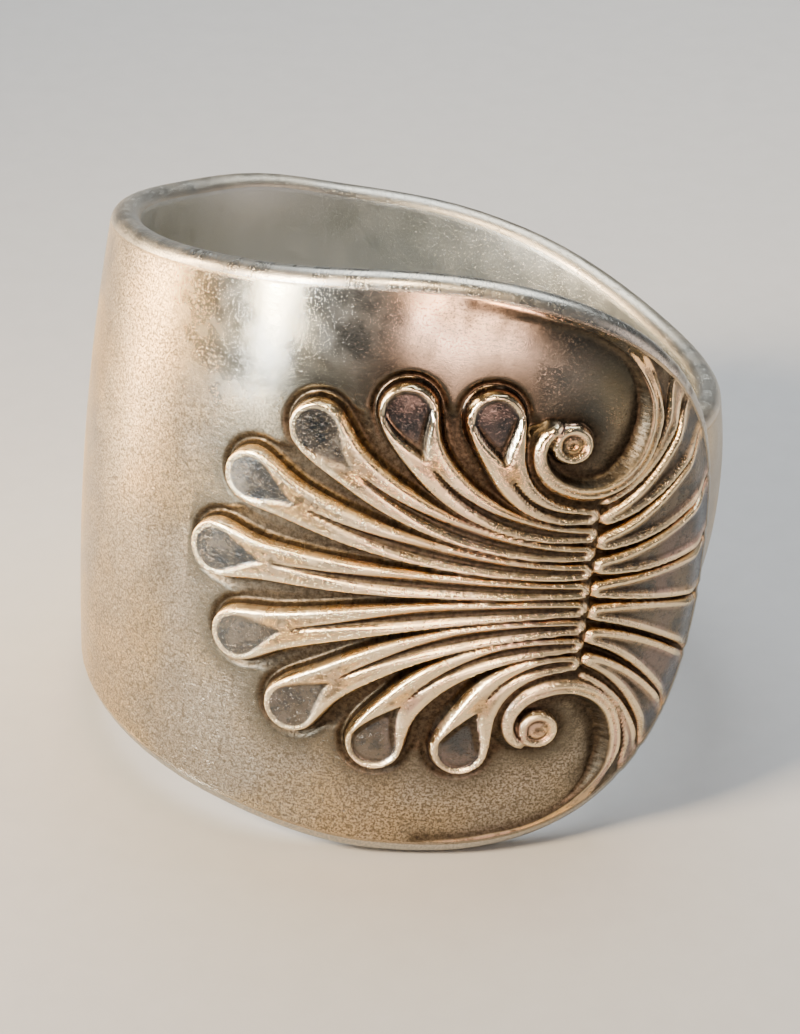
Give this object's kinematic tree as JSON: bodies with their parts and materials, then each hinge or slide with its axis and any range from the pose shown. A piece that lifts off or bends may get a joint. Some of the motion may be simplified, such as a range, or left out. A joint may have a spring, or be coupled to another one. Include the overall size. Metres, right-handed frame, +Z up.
{
  "type": "spoon ring",
  "caption": "Finger ring bent from a flat spoon handle, open spiral band with a broad rounded tip and a raised palmette between two scrolls.",
  "frame": {"origin": "centre of the bounding box at the surface that the ring lies on", "axes": "+Z up from that surface, -Y towards the carved front; the finger hole's axis leans 11 degrees to the back and 5 degrees to +X, because the rim is deepest at the front"},
  "size_m": [0.021, 0.0224, 0.0186],
  "materials": {
    "silver": "worn satin silver, darkened in the grooves"
  },
  "bodies": {
    "root": {"silver_band": "silver"}
  },
  "joints": []
}
